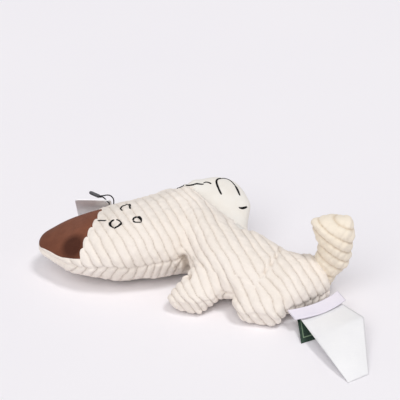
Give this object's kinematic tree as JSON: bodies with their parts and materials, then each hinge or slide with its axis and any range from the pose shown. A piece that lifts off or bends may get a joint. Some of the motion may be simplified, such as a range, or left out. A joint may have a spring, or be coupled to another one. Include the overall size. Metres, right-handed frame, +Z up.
{
  "type": "stuffed pet toy",
  "caption": "Small stuffed four-legged animal in wide-ribbed cream cloth with a brown muzzle, lying on its belly, with sewn-in labels, a hang tag and a squeaker",
  "frame": {"origin": "middle of the flat patch on which the belly rests", "axes": "+X from the muzzle towards the tail, +Y from the side with the sewn-in labels towards the other side, +Z up"},
  "size_m": [0.2095, 0.1747, 0.0601],
  "materials": {
    "corduroy": "cream cotton corduroy with wales 6 mm apart",
    "smooth_plush": "smooth cream short-pile cloth",
    "brown_velour": "brown short-pile velour",
    "wadding": "loose white polyester filling",
    "satin": "white satin ribbon",
    "green_woven": "dark green woven ribbon with a light border line",
    "card": "bare white card",
    "black_cord": "thin black twisted cord",
    "dark_plastic": "dark grey moulded plastic",
    "squeaker_vinyl": "pale translucent moulded plastic"
  },
  "bodies": {
    "torso": {"back_panel": "corduroy", "belly_panel": "corduroy", "body_filling": "wadding", "squeaker_base": "squeaker_vinyl", "squeaker_reed": "squeaker_vinyl"},
    "head": {"muzzle_panel": "brown_velour", "head_top_panel": "corduroy", "head_under_panel": "corduroy", "head_filling": "wadding"},
    "near_front_limb": {"near_foreleg": "corduroy"},
    "near_rear_limb": {"near_hind_leg": "corduroy"},
    "far_front_limb": {"far_foreleg": "smooth_plush"},
    "far_rear_limb": {"far_hind_leg": "corduroy"},
    "tail_limb": {"tail": "corduroy"},
    "dome": {"squeaker_dome": "squeaker_vinyl"},
    "long_label": {"care_label": "satin"},
    "short_label": {"folded_label": "satin"},
    "green_label": {"side_label": "green_woven"},
    "hang_tag": {"tag_card": "card", "tag_cord_outer": "black_cord", "tag_cord_inner": "black_cord", "tag_bullet": "dark_plastic"}
  },
  "joints": [
    {"name": "neck_nod", "type": "hinge", "parent": "torso", "child": "head", "pos_m": [-0.03772, 0.0374, 0.0245], "axis": [0, 1, 0], "range_deg": [-6, 12], "stiffness_Nm_per_rad": 0.3},
    {"name": "near_foreleg_lift", "type": "hinge", "parent": "torso", "child": "near_front_limb", "pos_m": [-0.02157, -0.00254, 0.01846], "axis": [-0.8572, 0.515, 0], "range_deg": [-10, 24], "stiffness_Nm_per_rad": 0.05},
    {"name": "near_hind_leg_lift", "type": "hinge", "parent": "torso", "child": "near_rear_limb", "pos_m": [0.01216, -0.02479, 0.01505], "axis": [-0.9903, 0.1392, 0], "range_deg": [-10, 24], "stiffness_Nm_per_rad": 0.05},
    {"name": "far_foreleg_lift", "type": "hinge", "parent": "torso", "child": "far_front_limb", "pos_m": [-0.01397, 0.0322, 0.02387], "axis": [0.9925, 0.1219, 0], "range_deg": [-35, 20], "stiffness_Nm_per_rad": 0.08},
    {"name": "far_hind_leg_lift", "type": "hinge", "parent": "torso", "child": "far_rear_limb", "pos_m": [0.03258, -0.00016, 0.00878], "axis": [0.9781, -0.2079, 0], "range_deg": [-10, 30], "stiffness_Nm_per_rad": 0.05},
    {"name": "tail_tip", "type": "hinge", "parent": "torso", "child": "tail_limb", "pos_m": [0.05016, -0.00652, 0.0151], "axis": [0, 1, 0], "range_deg": [-10, 40], "stiffness_Nm_per_rad": 0.08},
    {"name": "care_label_lift", "type": "hinge", "parent": "torso", "child": "long_label", "pos_m": [0.0321, -0.0391, 0.009], "axis": [-0.848, -0.53, 0], "range_deg": [0, 38]},
    {"name": "side_label_lift", "type": "hinge", "parent": "torso", "child": "green_label", "pos_m": [0.0321, -0.0391, 0.0105], "axis": [-0.891, -0.454, 0], "range_deg": [0, 24]},
    {"name": "folded_label_lift", "type": "hinge", "parent": "torso", "child": "short_label", "pos_m": [0.0261, -0.0391, 0.0118], "axis": [-0.873, -0.484, -0.061], "range_deg": [0, 38]},
    {"name": "hang_tag_swing", "type": "hinge", "parent": "head", "child": "hang_tag", "pos_m": [-0.08722, 0.04228, 0.04201], "axis": [1, 0, 0], "range_deg": [0, 45]},
    {"name": "squeaker_press", "type": "slide", "parent": "torso", "child": "dome", "axis": [0, 0, 1], "range_m": [-0.005, 0], "stiffness_N_per_m": 200}
  ],
  "couplings": [
    {"joint": "side_label_lift", "follows": "care_label_lift", "ratio": 0.6},
    {"joint": "folded_label_lift", "follows": "care_label_lift", "ratio": 1}
  ]
}
